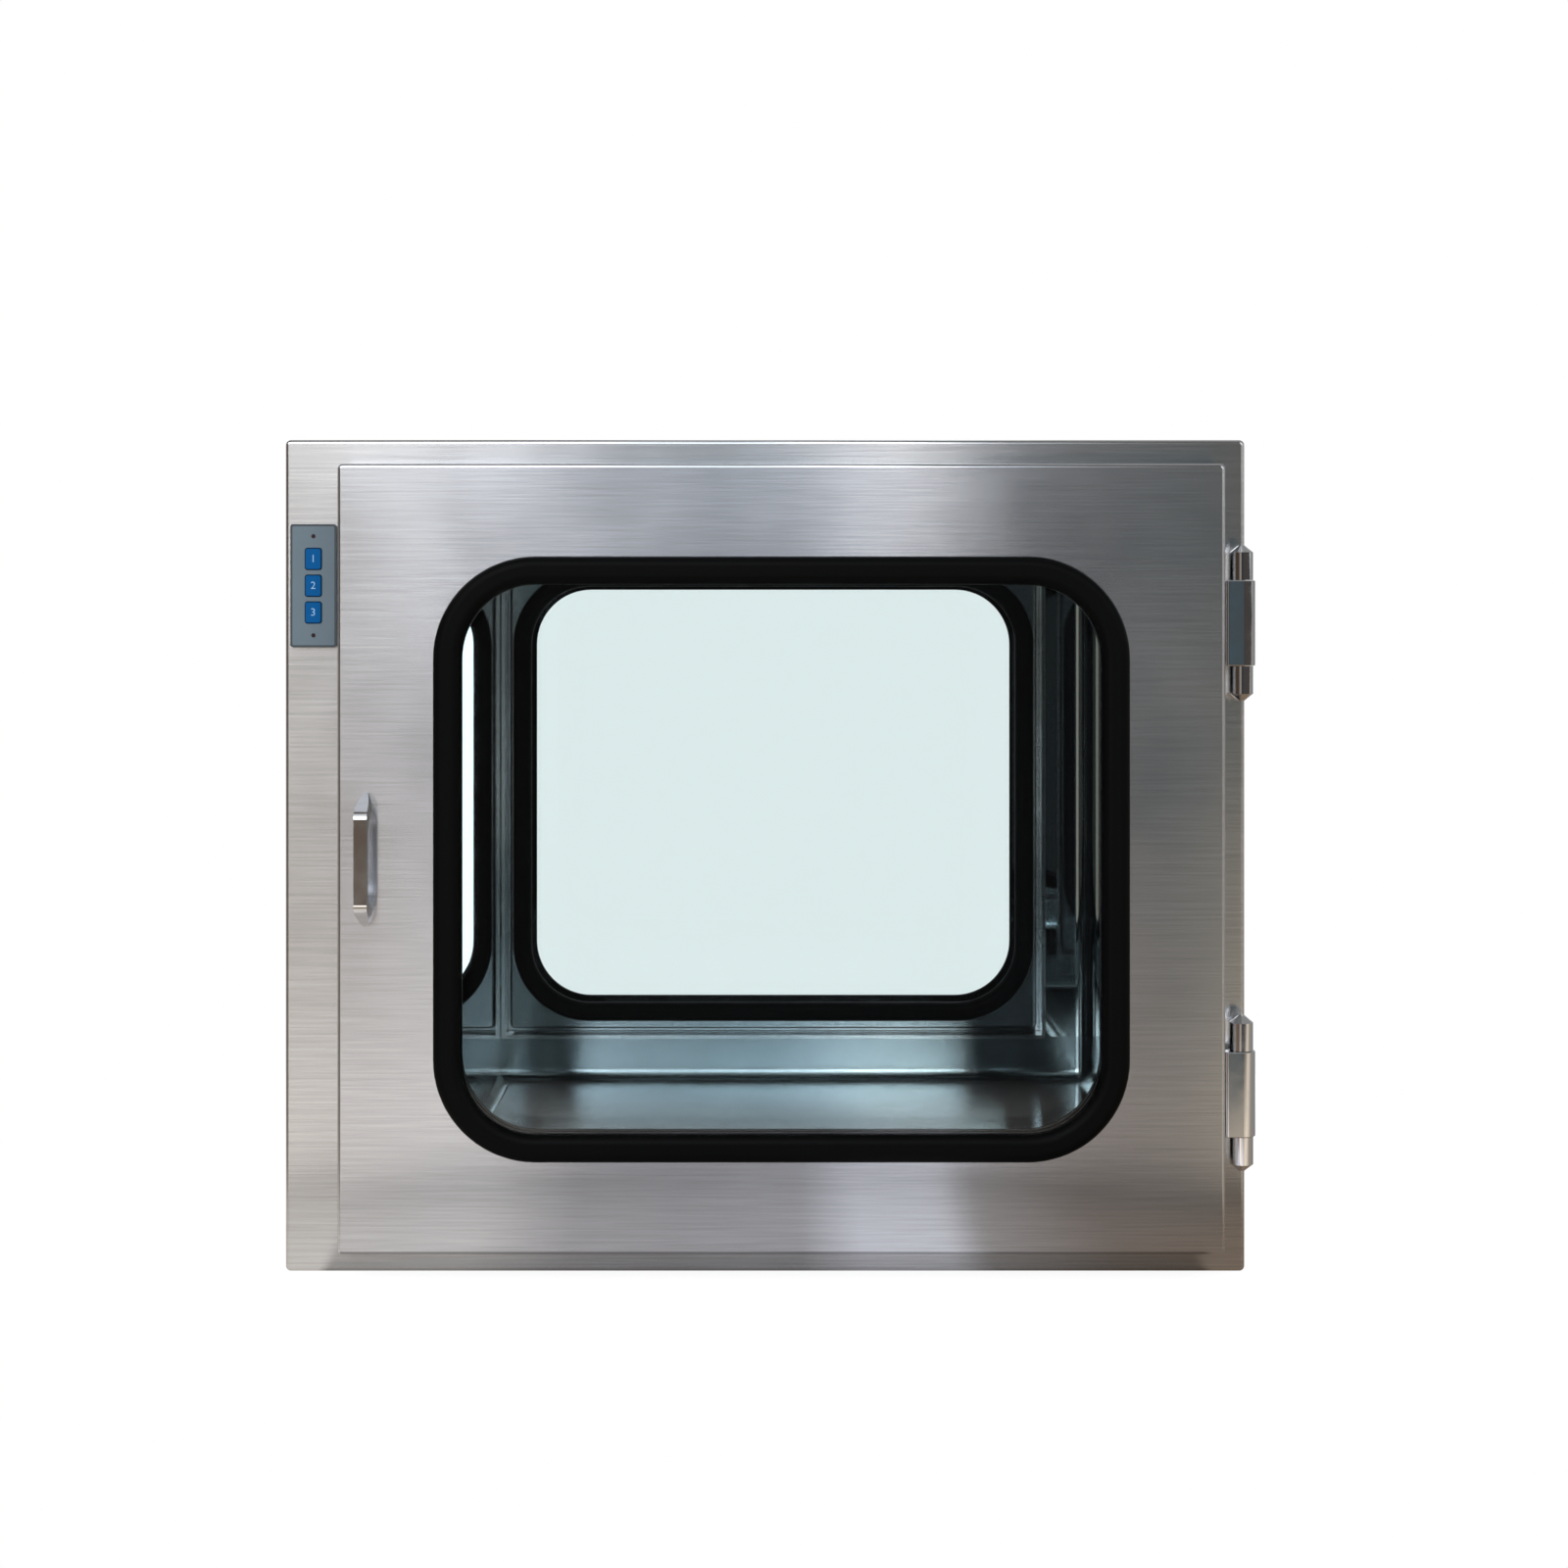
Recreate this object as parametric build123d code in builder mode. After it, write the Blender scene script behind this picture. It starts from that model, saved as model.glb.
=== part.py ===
from build123d import *
from math import atan2, degrees
import os

os.makedirs("parts", exist_ok=True)

# A cleanroom pass box: a welded stainless cabinet with a through chamber, closed by a glazed
# door on each face. Both doors are held by magnets that a control board interlocks.
# Millimetres. The origin is the centre of the cabinet's base, +Z is up, -Y is the front.

# ---------------------------------------------------------------- driving dimensions
# Sheet metal
sheet = 1.5                  # stainless sheet of every folded panel
bend_radius = 3.0            # outside radius of a fold
edge_radius = 4.0            # dressed corner where two folds meet
frame_return = 20.0          # how far a face frame wraps round the sides
cover_flange = 15.0          # turned edge of the top and bottom panels

# Door opening and what surrounds it on the face, left to right and bottom to top
opening_width = 550.0
opening_height = 490.0
side_overlap = 67.5          # door over the frame, left and right
end_overlap = 60.0           # door over the frame, top and bottom
panel_strip = 45.0           # face left of the door, which carries the keys
side_strip = 20.0            # face right of the door, which carries the hinges
end_strip = 20.0             # face above and below the door
hem_width = 3.6              # flange of the opening's liner inside the chamber

# Chamber
chamber_depth = 600.0
reveal = 25.0                # from the cabinet's face to the chamber's lip
left_lip = 4.5               # chamber's left wall to the opening
right_lip = 45.5             # chamber's right wall to the opening
sill_rise = 45.0             # chamber's floor to the opening
head_drop = 65.0             # opening to the ceiling, which hides the lamps
cove_radius = 12.0           # washable inside corners
left_bend = 0.4              # inside radius of the tight left corners

# Door
door_thickness = 25.0
seal_gap = 3.0               # compressed door seal
seal_width = 10.0
seal_inset = 4.0             # seal to the opening's edge
seal_play = 0.3              # seal to the frame's face
plug_gap = 3.5               # inner pan to the opening, all round
plug_reach = 7.0             # inner pan past the cabinet's face
plug_corner = 5.0

# Window, one pane in the outer skin and one in the inner pan
window_side = 3.0            # gasket to the pan's edge, left and right
window_end = 8.0             # gasket to the pan's edge, top and bottom
gasket_corner = 79.0
outer_band = 22.0            # gasket's width seen from outside
inner_band = 19.0            # gasket's width seen from the chamber
gasket_round = 7.5
gasket_proud = 8.5
gasket_tail = 6.5
sheet_grip = 11.0            # gasket over the sheet's cut-out
glass_thickness = 5.0
glass_grip = 7.0             # gasket over the pane's edge

# Bow handle
handle_inset = 22.0          # handle's centre line to the door's free edge
handle_length = 104.0
handle_width = 10.0
handle_standoff = 29.0
handle_bar = 7.5             # thickness of the front bar
bar_length = 74.0            # flat front of the bar
handle_foot = 13.0           # length of each foot
handle_bend = 8.0            # radius where the bar meets a leg
handle_point = 15.0          # length over which each end rounds off, seen from in front
handle_screw_inset = 7.0     # screw to the handle's end
handle_screw_radius = 2.0
handle_screw_bite = 6.0
screw_head_radius = 3.8
screw_head_height = 2.6

# Three-knuckle hinges
hinge_spacing = 364.0
hinge_length = 120.0
middle_knuckle = 66.0
pin_inset = 14.0             # pin to the door's edge
pin_height = 17.0            # pin to the cabinet's face
pin_radius = 3.0
pin_running = 0.05           # radial play in the door's knuckle
knuckle_play = 0.3           # between knuckles
middle_radius = 10.6
end_radius = 9.0
leaf_round = 2.5             # dressed corner beside the door's edge
leaf_bevel = 0.7             # bevel at both ends of the middle knuckle
knuckle_tip = 2.6
tip_height = 5.3
leaf_thickness = 3.0
leaf_setback = 6.0           # frame leaf's edge to the door's edge
pin_cover = 7.0              # closed end of each outer knuckle

# Control panel and its keys
panel_width = 36.0
panel_height = 96.0
panel_drop = 66.0            # cabinet's top to the panel
panel_proud = 3.0
panel_corner = 2.0
panel_border = 1.6
panel_tail_inset = 4.0       # housing behind the face, inside the border
panel_tail = 12.0
overlay_thickness = 1.0
key_width = 12.0
key_height = 16.0
key_pitch = 20.9
key_count = 3
key_corner = 1.6
key_play = 0.3
key_rim = 0.8
key_proud = 1.1
key_travel = 0.8
led_radius = 1.6
led_offset = 38.7            # lamp to the panel's centre
led_rise = 0.6
switch_size = 6.0
switch_cap_radius = 1.7
board_thickness = 1.6

# Magnet locks
magnet_width = 32.0
magnet_height = 170.0
magnet_depth = 22.0
magnet_flange = 6.0
magnet_flange_thickness = 3.0
armature_width = 30.0
armature_height = 150.0
armature_thickness = 8.0
armature_play = 0.5
armature_stud_radius = 5.0

# Lamps under the ceiling, one behind each lip
lamp_setback = 45.0          # tube's axis to the chamber's lip
lamp_radius = 13.0
lamp_length = 437.0
lamp_cap_length = 9.0
lamp_cap_step = 0.4
lamp_drop = 36.0             # ceiling to the tube's axis
batten_width = 38.0
batten_height = 18.0
batten_overhang = 24.0
holder_length = 14.0
holder_width = 26.0

# Electrical compartment beside the chamber
board_width = 110.0
board_height = 160.0
board_standoff = 8.0
board_post_radius = 3.0
board_post_inset = 6.0       # post to the board's edges
relay_count = 4
relay_pitch = 24.0
relay_length = 19.0
relay_width = 15.5
relay_height = 15.0
capacitor_radius = 8.0
capacitor_height = 25.0
board_floor = 300.0          # board's lower edge above the base
supply_width = 98.0
supply_height = 158.0
supply_depth = 38.0
vent_columns = 5
vent_rows = 8
vent_pitch = 12.0
vent_size = 7.0
supply_gap = 40.0            # board to supply
terminal_count = 8
terminal_pitch = 8.0
terminal_height = 45.0
terminal_depth = 40.0
terminal_floor = 140.0
rail_height = 35.0
rail_depth = 7.5

# Top: cable gland and service cover
gland_inset = 75.0           # gland to the cabinet's back
gland_bore = 5.5
gland_thread = 10.0
gland_hex = 24.0
gland_dome = 11.0
gland_base_height = 6.0
gland_dome_height = 15.0
gland_nut_height = 5.0
cover_width = 84.0
cover_length = 380.0
cover_lap = 10.0
cover_screw_rows = 3
cover_screw_radius = 2.0
cover_head_radius = 4.0
cover_head_height = 2.4
cover_screw_length = 8.0

# Stiffeners under the chamber's floor
stiffener_width = 40.0
stiffener_length = 520.0
stiffener_spacing = 300.0
stiffener_lip = 15.0

# ---------------------------------------------------------------- derived places
cabinet_width = panel_strip + side_overlap + opening_width + side_overlap + side_strip
cabinet_height = 2 * end_strip + 2 * end_overlap + opening_height
cabinet_depth = chamber_depth + 2 * reveal
half_width = cabinet_width / 2
half_depth = cabinet_depth / 2

door_width = opening_width + 2 * side_overlap
door_height = opening_height + 2 * end_overlap
door_left = -half_width + panel_strip
door_right = door_left + door_width
opening_left = door_left + side_overlap
opening_right = opening_left + opening_width
opening_bottom = end_strip + end_overlap
opening_top = opening_bottom + opening_height
middle_x = (opening_left + opening_right) / 2
middle_z = (opening_bottom + opening_top) / 2

chamber_left = opening_left - left_lip
chamber_right = opening_right + right_lip
chamber_width = chamber_right - chamber_left
chamber_x = (chamber_left + chamber_right) / 2
chamber_half = chamber_depth / 2
floor_z = opening_bottom - sill_rise
ceiling_z = opening_top + head_drop
wall_foot = opening_bottom - sheet

# Distances from the middle plane to each layer of a door; the front is at -Y
door_back = half_depth + seal_gap
door_face = door_back + door_thickness
plug_face = half_depth - plug_reach
hem_plane = chamber_half - sheet
jamb_depth = half_depth - hem_plane

plug_width = opening_width - 2 * plug_gap
plug_height = opening_height - 2 * plug_gap
gasket_width = plug_width - 2 * window_side
gasket_height = plug_height - 2 * window_end
cutout_width = gasket_width - 2 * sheet_grip
cutout_height = gasket_height - 2 * sheet_grip
cutout_corner = gasket_corner - sheet_grip

pin_x = door_right + pin_inset
pin_plane = half_depth + pin_height
hinge_heights = (middle_z - hinge_spacing / 2, middle_z + hinge_spacing / 2)

panel_x = -half_width + panel_strip / 2
panel_z = cabinet_height - panel_drop - panel_height / 2
panel_face = half_depth + panel_proud
tail_width = panel_width - 2 * panel_tail_inset
tail_height = panel_height - 2 * panel_tail_inset
key_heights = [panel_z + ((key_count - 1) / 2 - index) * key_pitch for index in range(key_count)]
overlay_back = panel_face - overlay_thickness
key_back = overlay_back - key_play - key_rim
switch_top = key_back - key_travel - key_play
board_face = half_depth - panel_tail

seal_outer_x = opening_left - seal_inset - seal_width
magnet_x = (door_left + seal_outer_x) / 2
compartment_x = (-half_width + chamber_left) / 2

tolerance = 0.01             # for picking edges that lie in a plane


def front_plane(distance):
    """The upright plane that lies this far in front of the cabinet's middle."""
    return Plane.XZ.offset(distance)


def edges_at(part, distance):
    """Edges that lie wholly in the upright plane this far in front of the middle."""
    return part.edges().filter_by_position(Axis.Y, -distance - tolerance, -distance + tolerance)


def ring(width, height, corner, band):
    """A flat frame with rounded corners, band wide."""
    RectangleRounded(width, height, corner)
    RectangleRounded(width - 2 * band, height - 2 * band, corner - band, mode=Mode.SUBTRACT)


def save(part, node):
    """Label one finished sub-part and write it as a STEP file."""
    part.label = node
    export_step(part, f"parts/{node}.step")


def save_pair(part, ending):
    """Write a front sub-part and its mirror image at the rear."""
    save(part, f"front_{ending}")
    with BuildPart() as twin:
        mirror(part, about=Plane.XZ)
    save(twin.part, f"rear_{ending}")


def both_faces(part):
    """One group that holds the front pieces and their mirror images at the rear."""
    with BuildPart() as group:
        add(part)
        mirror(part, about=Plane.XZ)
    return group.part


# ---------------------------------------------------------------- cabinet shell
def shell_panel(keep_x, keep_z, keep_width, keep_height):
    """One panel of the folded wrap: the part of its section inside a rectangle."""
    with BuildPart() as panel:
        with BuildSketch(front_plane(-half_depth + frame_return)):
            with Locations((0, cabinet_height / 2)):
                ring(cabinet_width, cabinet_height, edge_radius, sheet)
            with Locations((keep_x, keep_z)):
                Rectangle(keep_width, keep_height, mode=Mode.INTERSECT)
        extrude(amount=cabinet_depth - 2 * frame_return)
    return panel.part


side_height = cabinet_height - 2 * cover_flange
side_centre = cabinet_height / 2
cover_hole_width = cover_width - 2 * cover_lap
cover_hole_length = cover_length - 2 * cover_lap
screw_pitch = (cover_length - cover_lap) / (cover_screw_rows - 1)
gland_y = half_depth - gland_inset

left_side_panel = shell_panel(-half_width, side_centre, 2 * edge_radius, side_height)
save(left_side_panel, "left_side_panel")

right_side_panel = shell_panel(half_width, side_centre, 2 * edge_radius, side_height)
save(right_side_panel, "right_side_panel")

bottom_panel = shell_panel(0, cover_flange / 2, cabinet_width, cover_flange)
save(bottom_panel, "bottom_panel")

with BuildPart() as top_panel:
    add(shell_panel(0, cabinet_height - cover_flange / 2, cabinet_width, cover_flange))
    with BuildSketch(Plane.XY.offset(cabinet_height - sheet)):
        with Locations((compartment_x, 0)):
            RectangleRounded(cover_hole_width, cover_hole_length, edge_radius)
        with Locations((compartment_x, gland_y)):
            Circle(gland_thread)
        with GridLocations(cover_width - cover_lap, screw_pitch, 2, cover_screw_rows):
            with Locations((compartment_x, 0)):
                Circle(cover_screw_radius)
    extrude(amount=sheet, mode=Mode.SUBTRACT)
save(top_panel.part, "top_panel")

with BuildPart() as service_cover:
    with BuildSketch(Plane.XY.offset(cabinet_height)):
        with Locations((compartment_x, 0)):
            RectangleRounded(cover_width, cover_length, edge_radius)
        with GridLocations(cover_width - cover_lap, screw_pitch, 2, cover_screw_rows):
            with Locations((compartment_x, 0)):
                Circle(cover_screw_radius, mode=Mode.SUBTRACT)
    extrude(amount=sheet)
save(service_cover.part, "service_cover")

with BuildPart() as service_cover_screws:
    with BuildSketch(Plane.XY.offset(cabinet_height + sheet)):
        with GridLocations(cover_width - cover_lap, screw_pitch, 2, cover_screw_rows):
            with Locations((compartment_x, 0)):
                Circle(cover_head_radius)
    extrude(amount=cover_head_height)
    chamfer(edges().group_by(Axis.Z)[-1], cover_head_height / 3)
    with BuildSketch(Plane.XY.offset(cabinet_height + sheet)):
        with GridLocations(cover_width - cover_lap, screw_pitch, 2, cover_screw_rows):
            with Locations((compartment_x, 0)):
                Circle(cover_screw_radius)
    extrude(amount=-cover_screw_length)
save(service_cover_screws.part, "service_cover_screws")

# The gland clamps the supply cable in the top panel: a hexagon, a dome nut and a lock nut.
with BuildPart() as cable_gland:
    with BuildSketch(Plane.XY.offset(cabinet_height)):
        with Locations((compartment_x, gland_y)):
            RegularPolygon(gland_hex / 2, 6, major_radius=False)
    extrude(amount=gland_base_height)
    with BuildSketch(Plane.XY.offset(cabinet_height + gland_base_height)):
        with Locations((compartment_x, gland_y)):
            Circle(gland_dome)
    extrude(amount=gland_dome_height)
    chamfer(edges().group_by(Axis.Z)[-1], gland_dome / 4)
    with BuildSketch(Plane.XY.offset(cabinet_height - sheet)):
        with Locations((compartment_x, gland_y)):
            Circle(gland_thread)
    extrude(amount=sheet)
    with BuildSketch(Plane.XY.offset(cabinet_height - sheet)):
        with Locations((compartment_x, gland_y)):
            RegularPolygon(gland_hex / 2, 6, major_radius=False)
    extrude(amount=-gland_nut_height)
    with BuildSketch(Plane.XY.offset(cabinet_height - sheet - gland_nut_height)):
        with Locations((compartment_x, gland_y)):
            Circle(gland_bore)
    gland_length = sheet + gland_nut_height + gland_base_height + gland_dome_height
    extrude(amount=gland_length, mode=Mode.SUBTRACT)
save(cable_gland.part, "cable_gland")

# ---------------------------------------------------------------- face frames
# A tray whose edges wrap the sides. The door opening is lined by a folded sleeve that ends
# in a hem inside the chamber. The magnet and the key housing look out through cut-outs.
with BuildPart() as front_frame:
    with BuildSketch(front_plane(half_depth - frame_return)):
        with Locations((0, cabinet_height / 2)):
            RectangleRounded(cabinet_width, cabinet_height, edge_radius)
    extrude(amount=frame_return)
    fillet(edges_at(front_frame, half_depth), bend_radius)
    offset(amount=-sheet, openings=faces().sort_by(Axis.Y)[-1])
    with BuildSketch(front_plane(half_depth - sheet)):
        with Locations((middle_x, middle_z)):
            Rectangle(opening_width, opening_height)
        with Locations((magnet_x, middle_z)):
            Rectangle(magnet_width, magnet_height)
        with Locations((panel_x, panel_z)):
            Rectangle(tail_width, tail_height)
    extrude(amount=sheet, mode=Mode.SUBTRACT)
    with BuildSketch(front_plane(hem_plane)):
        with Locations((middle_x, middle_z)):
            Rectangle(opening_width + 2 * sheet, opening_height + 2 * sheet)
            Rectangle(opening_width, opening_height, mode=Mode.SUBTRACT)
    extrude(amount=jamb_depth)
    with BuildSketch(front_plane(hem_plane)):
        with Locations((middle_x, middle_z)):
            Rectangle(opening_width + 2 * hem_width, opening_height + 2 * hem_width)
            Rectangle(opening_width, opening_height, mode=Mode.SUBTRACT)
    extrude(amount=sheet)
save_pair(front_frame.part, "frame")

# ---------------------------------------------------------------- chamber
def coved_block(wall, foot):
    """The pan's outside or inside: round at the foot and at the right, square at the left."""
    with BuildPart() as block:
        with BuildSketch(Plane.XY.offset(foot)):
            with Locations((chamber_x, 0)):
                Rectangle(chamber_width + 2 * wall, chamber_depth + 2 * wall)
        extrude(amount=wall_foot - foot)
        right_corners = block.edges().filter_by(Axis.Z).group_by(Axis.X)[-1]
        fillet(right_corners + block.edges().group_by(Axis.Z)[0], cove_radius + wall)
    return block.part


# The floor is a pan with coved corners. Its rim carries the walls.
with BuildPart() as chamber_floor_pan:
    add(coved_block(sheet, floor_z - sheet))
    add(coved_block(0, floor_z), mode=Mode.SUBTRACT)
save(chamber_floor_pan.part, "chamber_floor_pan")

wall_height = ceiling_z - wall_foot
left_flange_edge = opening_left - sheet
right_flange_edge = opening_right + sheet
wall_trim = chamber_depth + 4 * sheet

with BuildPart() as chamber_left_wall:
    with BuildSketch(Plane.XY.offset(wall_foot)):
        with Locations((chamber_x, 0)):
            ring(chamber_width + 2 * sheet, chamber_depth + 2 * sheet, left_bend + sheet, sheet)
        with Locations((left_flange_edge, 0)):
            Rectangle(2 * (left_lip + sheet), wall_trim, align=(Align.MAX, Align.CENTER),
                      mode=Mode.INTERSECT)
    extrude(amount=wall_height)
save(chamber_left_wall.part, "chamber_left_wall")

with BuildPart() as chamber_right_wall:
    with BuildSketch(Plane.XY.offset(wall_foot)):
        with Locations((chamber_x, 0)):
            ring(chamber_width + 2 * sheet, chamber_depth + 2 * sheet, cove_radius + sheet, sheet)
        with Locations((right_flange_edge, 0)):
            Rectangle(2 * right_lip, wall_trim, align=(Align.MIN, Align.CENTER), mode=Mode.INTERSECT)
    extrude(amount=wall_height)
save(chamber_right_wall.part, "chamber_right_wall")

with BuildPart() as chamber_ceiling:
    with BuildSketch(Plane.XY.offset(ceiling_z)):
        with Locations((chamber_x, 0)):
            RectangleRounded(chamber_width + 2 * sheet, chamber_depth + 2 * sheet, left_bend + sheet)
    extrude(amount=sheet)
    with BuildSketch(Plane.XY.offset(opening_top + sheet)):
        with Locations((middle_x, chamber_half + sheet / 2), (middle_x, -chamber_half - sheet / 2)):
            Rectangle(right_flange_edge - left_flange_edge, sheet)
    extrude(amount=head_drop - sheet)
save(chamber_ceiling.part, "chamber_ceiling")

# Hat channels carry the floor on the base.
with BuildPart() as floor_stiffeners:
    for stiffener_y in (-stiffener_spacing / 2, stiffener_spacing / 2):
        with BuildSketch(Plane.YZ.offset(chamber_x - stiffener_length / 2)):
            with BuildLine():
                half_hat = stiffener_width / 2
                Polyline(
                    (stiffener_y - half_hat - stiffener_lip, sheet),
                    (stiffener_y - half_hat + sheet, sheet),
                    (stiffener_y - half_hat + sheet, floor_z - 2 * sheet),
                    (stiffener_y + half_hat - sheet, floor_z - 2 * sheet),
                    (stiffener_y + half_hat - sheet, sheet),
                    (stiffener_y + half_hat + stiffener_lip, sheet),
                    (stiffener_y + half_hat + stiffener_lip, 2 * sheet),
                    (stiffener_y + half_hat, 2 * sheet),
                    (stiffener_y + half_hat, floor_z - sheet),
                    (stiffener_y - half_hat, floor_z - sheet),
                    (stiffener_y - half_hat, 2 * sheet),
                    (stiffener_y - half_hat - stiffener_lip, 2 * sheet),
                    close=True,
                )
            make_face()
        extrude(amount=stiffener_length)
save(floor_stiffeners.part, "floor_stiffeners")

# ---------------------------------------------------------------- lamps
lamp_y = chamber_half - lamp_setback
lamp_z = ceiling_z - lamp_drop
lamp_end = (chamber_x - lamp_length / 2, -lamp_y, lamp_z)
lamp_section = Plane(origin=lamp_end, x_dir=(0, 1, 0), z_dir=(1, 0, 0))


def lamp_tube():
    """A tube lamp with a metal cap on each end, along X behind the front lip."""
    with BuildPart() as tube:
        with BuildSketch(lamp_section):
            Circle(lamp_radius)
        extrude(amount=lamp_length)
        for cap_start in (0, lamp_length - lamp_cap_length):
            with BuildSketch(lamp_section.offset(cap_start)):
                Circle(lamp_radius + lamp_cap_step)
            extrude(amount=lamp_cap_length)
    return tube.part


def lamp_batten():
    """The channel that holds one lamp's sockets under the ceiling."""
    batten_length = lamp_length + 2 * batten_overhang
    with BuildPart() as batten:
        with BuildSketch(Plane.XY.offset(ceiling_z)):
            with Locations((chamber_x, -lamp_y)):
                Rectangle(batten_length, batten_width)
        extrude(amount=-batten_height)
        fillet(edges().filter_by(Axis.X).group_by(Axis.Z)[0], bend_radius)
        offset(amount=-sheet, openings=faces().sort_by(Axis.Z)[-1])
    return batten.part


def lamp_sockets():
    """The two sockets that grip one lamp's ends."""
    with BuildPart() as sockets:
        for side in (-1, 1):
            socket_x = chamber_x + side * (lamp_length + holder_length) / 2
            with BuildSketch(Plane.YZ.offset(socket_x - holder_length / 2)):
                with Locations((-lamp_y, lamp_z)):
                    Circle(holder_width / 2)
                with Locations((-lamp_y, lamp_z)):
                    Rectangle(
                        holder_width,
                        lamp_drop - batten_height,
                        align=(Align.CENTER, Align.MIN),
                    )
            extrude(amount=holder_length)
    return sockets.part


save(lamp_tube(), "uv_lamp_tube")
with BuildPart() as light_tube:
    mirror(lamp_tube(), about=Plane.XZ)
save(light_tube.part, "light_tube")
save(both_faces(lamp_batten()), "lamp_battens")
save(both_faces(lamp_sockets()), "lamp_sockets")

# ---------------------------------------------------------------- electrical compartment
wall_back = chamber_left - sheet
wall_plane = Plane(origin=(wall_back, 0, 0), x_dir=(0, -1, 0), z_dir=(-1, 0, 0))
board_centre = supply_gap / 2 + board_width / 2
board_middle = board_floor + board_height / 2
post_pitch = board_width - 2 * board_post_inset
post_rise = board_height - 2 * board_post_inset
supply_centre = -supply_gap / 2 - supply_width / 2

# The board stands on four posts on the chamber's wall and carries the interlock's relays.
with BuildPart() as control_board:
    with BuildSketch(wall_plane):
        with Locations((board_centre, board_middle)):
            with GridLocations(post_pitch, post_rise, 2, 2):
                Circle(board_post_radius)
    extrude(amount=board_standoff)
    with BuildSketch(wall_plane.offset(board_standoff)):
        with Locations((board_centre, board_middle)):
            Rectangle(board_width, board_height)
    extrude(amount=board_thickness)
    with BuildSketch(wall_plane.offset(board_standoff + board_thickness)):
        with Locations((board_centre, board_middle + board_height / 4)):
            with GridLocations(relay_pitch, 0, relay_count, 1):
                Rectangle(relay_width, relay_length)
    extrude(amount=relay_height)
    with BuildSketch(wall_plane.offset(board_standoff + board_thickness)):
        with Locations((board_centre - board_width / 4, board_middle - board_height / 4)):
            Circle(capacitor_radius)
    extrude(amount=capacitor_height)
save(control_board.part, "control_board")

with BuildPart() as power_supply:
    with BuildSketch(wall_plane):
        with Locations((supply_centre, board_middle)):
            Rectangle(supply_width, supply_height)
    extrude(amount=supply_depth)
    fillet(edges().filter_by(Axis.Z).group_by(Axis.X)[0], bend_radius)
    with BuildSketch(wall_plane.offset(supply_depth - sheet)):
        with Locations((supply_centre, board_middle)):
            with GridLocations(vent_pitch, vent_pitch, vent_columns, vent_rows):
                Rectangle(vent_size, vent_size)
    extrude(amount=sheet, mode=Mode.SUBTRACT)
save(power_supply.part, "power_supply")

with BuildPart() as terminal_block:
    rail_length = terminal_count * terminal_pitch + 2 * terminal_pitch
    terminal_middle = terminal_floor + terminal_height / 2
    with BuildSketch(wall_plane):
        with Locations((0, terminal_middle)):
            Rectangle(rail_length, rail_height)
    extrude(amount=rail_depth)
    with BuildSketch(wall_plane.offset(rail_depth)):
        with Locations((0, terminal_middle)):
            Rectangle(terminal_count * terminal_pitch, terminal_height)
    extrude(amount=terminal_depth)
    terminal_edges = edges().filter_by(Axis.Y).group_by(Axis.X)[0]
    chamfer(terminal_edges, terminal_pitch)
    with BuildSketch(wall_plane.offset(rail_depth + terminal_depth)):
        with Locations((0, terminal_middle)):
            with GridLocations(terminal_pitch, terminal_height / 2, terminal_count, 2):
                Circle(terminal_pitch / 4)
    extrude(amount=-terminal_pitch, mode=Mode.SUBTRACT)
save(terminal_block.part, "terminal_block")

# ---------------------------------------------------------------- magnet locks
with BuildPart() as magnet_lock:
    with BuildSketch(front_plane(half_depth)):
        with Locations((magnet_x, middle_z)):
            Rectangle(magnet_width, magnet_height)
    extrude(amount=-magnet_depth)
    with BuildSketch(front_plane(half_depth - sheet)):
        with Locations((magnet_x, middle_z)):
            Rectangle(magnet_width + 2 * magnet_flange, magnet_height + 2 * magnet_flange)
    extrude(amount=-magnet_flange_thickness)
save_pair(magnet_lock.part, "magnet_lock")

armature_face = half_depth + seal_play
with BuildPart() as armature:
    with BuildSketch(front_plane(armature_face)):
        with Locations((magnet_x, middle_z)):
            Rectangle(armature_width, armature_height)
    extrude(amount=armature_thickness)
    with BuildSketch(front_plane(armature_face)):
        with Locations((magnet_x, middle_z)):
            Circle(armature_stud_radius)
    extrude(amount=door_face - sheet - armature_face)
save_pair(armature.part, "door_armature")

# ---------------------------------------------------------------- doors
handle_x = door_left + handle_inset
handle_reach = handle_length / 2 - handle_screw_inset
handle_holes = [middle_z - handle_reach, middle_z + handle_reach]

# The outer skin is a tray folded back at its four edges, with the window cut out of it.
with BuildPart() as door_skin:
    with BuildSketch(front_plane(door_back)):
        with Locations((middle_x, middle_z)):
            RectangleRounded(door_width, door_height, edge_radius)
    extrude(amount=door_thickness)
    fillet(edges_at(door_skin, door_face), bend_radius)
    offset(amount=-sheet, openings=faces().sort_by(Axis.Y)[-1])
    with BuildSketch(front_plane(door_face - sheet)):
        with Locations((middle_x, middle_z)):
            RectangleRounded(cutout_width, cutout_height, cutout_corner)
        with Locations(*[(handle_x, hole_z) for hole_z in handle_holes]):
            Circle(handle_screw_radius)
    extrude(amount=sheet, mode=Mode.SUBTRACT)
save_pair(door_skin.part, "door_skin")

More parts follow.
